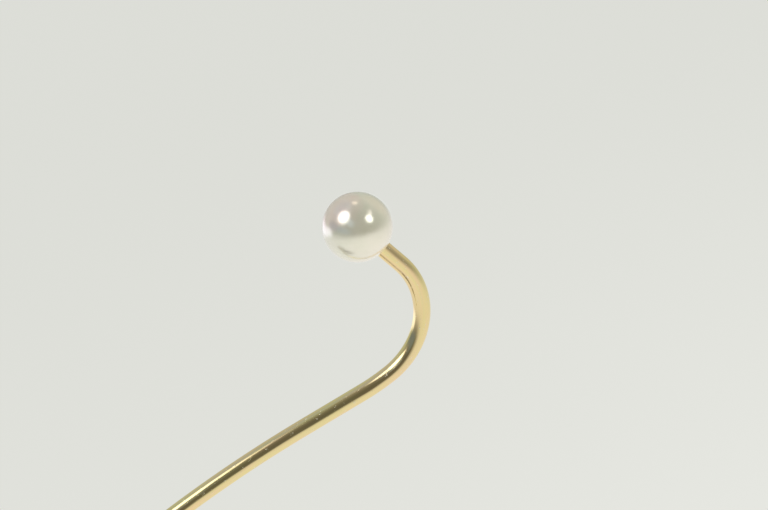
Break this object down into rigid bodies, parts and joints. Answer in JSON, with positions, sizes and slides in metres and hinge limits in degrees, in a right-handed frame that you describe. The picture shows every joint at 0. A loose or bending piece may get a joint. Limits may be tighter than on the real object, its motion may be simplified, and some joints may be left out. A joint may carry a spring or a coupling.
{
  "type": "hat pin",
  "caption": "Pearl-headed hat pin: a round wire that bends over in a crook to the pearl, with a straight pointed shank and a sliding ball-lock guard.",
  "frame": {"origin": "on the axis of the straight shank, at its top end, where the hat's felt or a lapel's cloth meets the pin", "axes": "-Z runs down the shank to the point, the crook bends over towards -X in the XZ plane, and Y is across the wire"},
  "size_m": [0.0142, 0.005, 0.069],
  "materials": {
    "gold_wire": "polished yellow gold",
    "gold_guard": "gilt and polished",
    "nacre": "lustrous nacre, white with a rose and green overtone",
    "shell_bead": "polished shell",
    "cement": "clear amber cement",
    "bright_steel": "polished",
    "spring_steel": "drawn wire"
  },
  "bodies": {
    "pin": {"pin_wire": "gold_wire", "pearl_nacre": "nacre", "pearl_nucleus": "shell_bead", "pearl_cement": "cement"},
    "guard": {"guard_barrel": "gold_guard", "guard_end_cap": "gold_guard", "guard_ball_seat": "bright_steel", "guard_spring": "spring_steel"},
    "release": {"guard_cage": "gold_guard", "release_collar": "gold_guard", "lock_ball_1": "bright_steel", "lock_ball_2": "bright_steel", "lock_ball_3": "bright_steel"}
  },
  "joints": [
    {"name": "guard_slide", "type": "slide", "parent": "pin", "child": "guard", "axis": [0, 0, -1], "range_m": [0, 0.02]},
    {"name": "release_press", "type": "slide", "parent": "guard", "child": "release", "axis": [0, 0, -1], "range_m": [0, 0.0008], "stiffness_N_per_m": 150, "springref_m": -0.0012, "deforming": ["guard_spring"]}
  ]
}
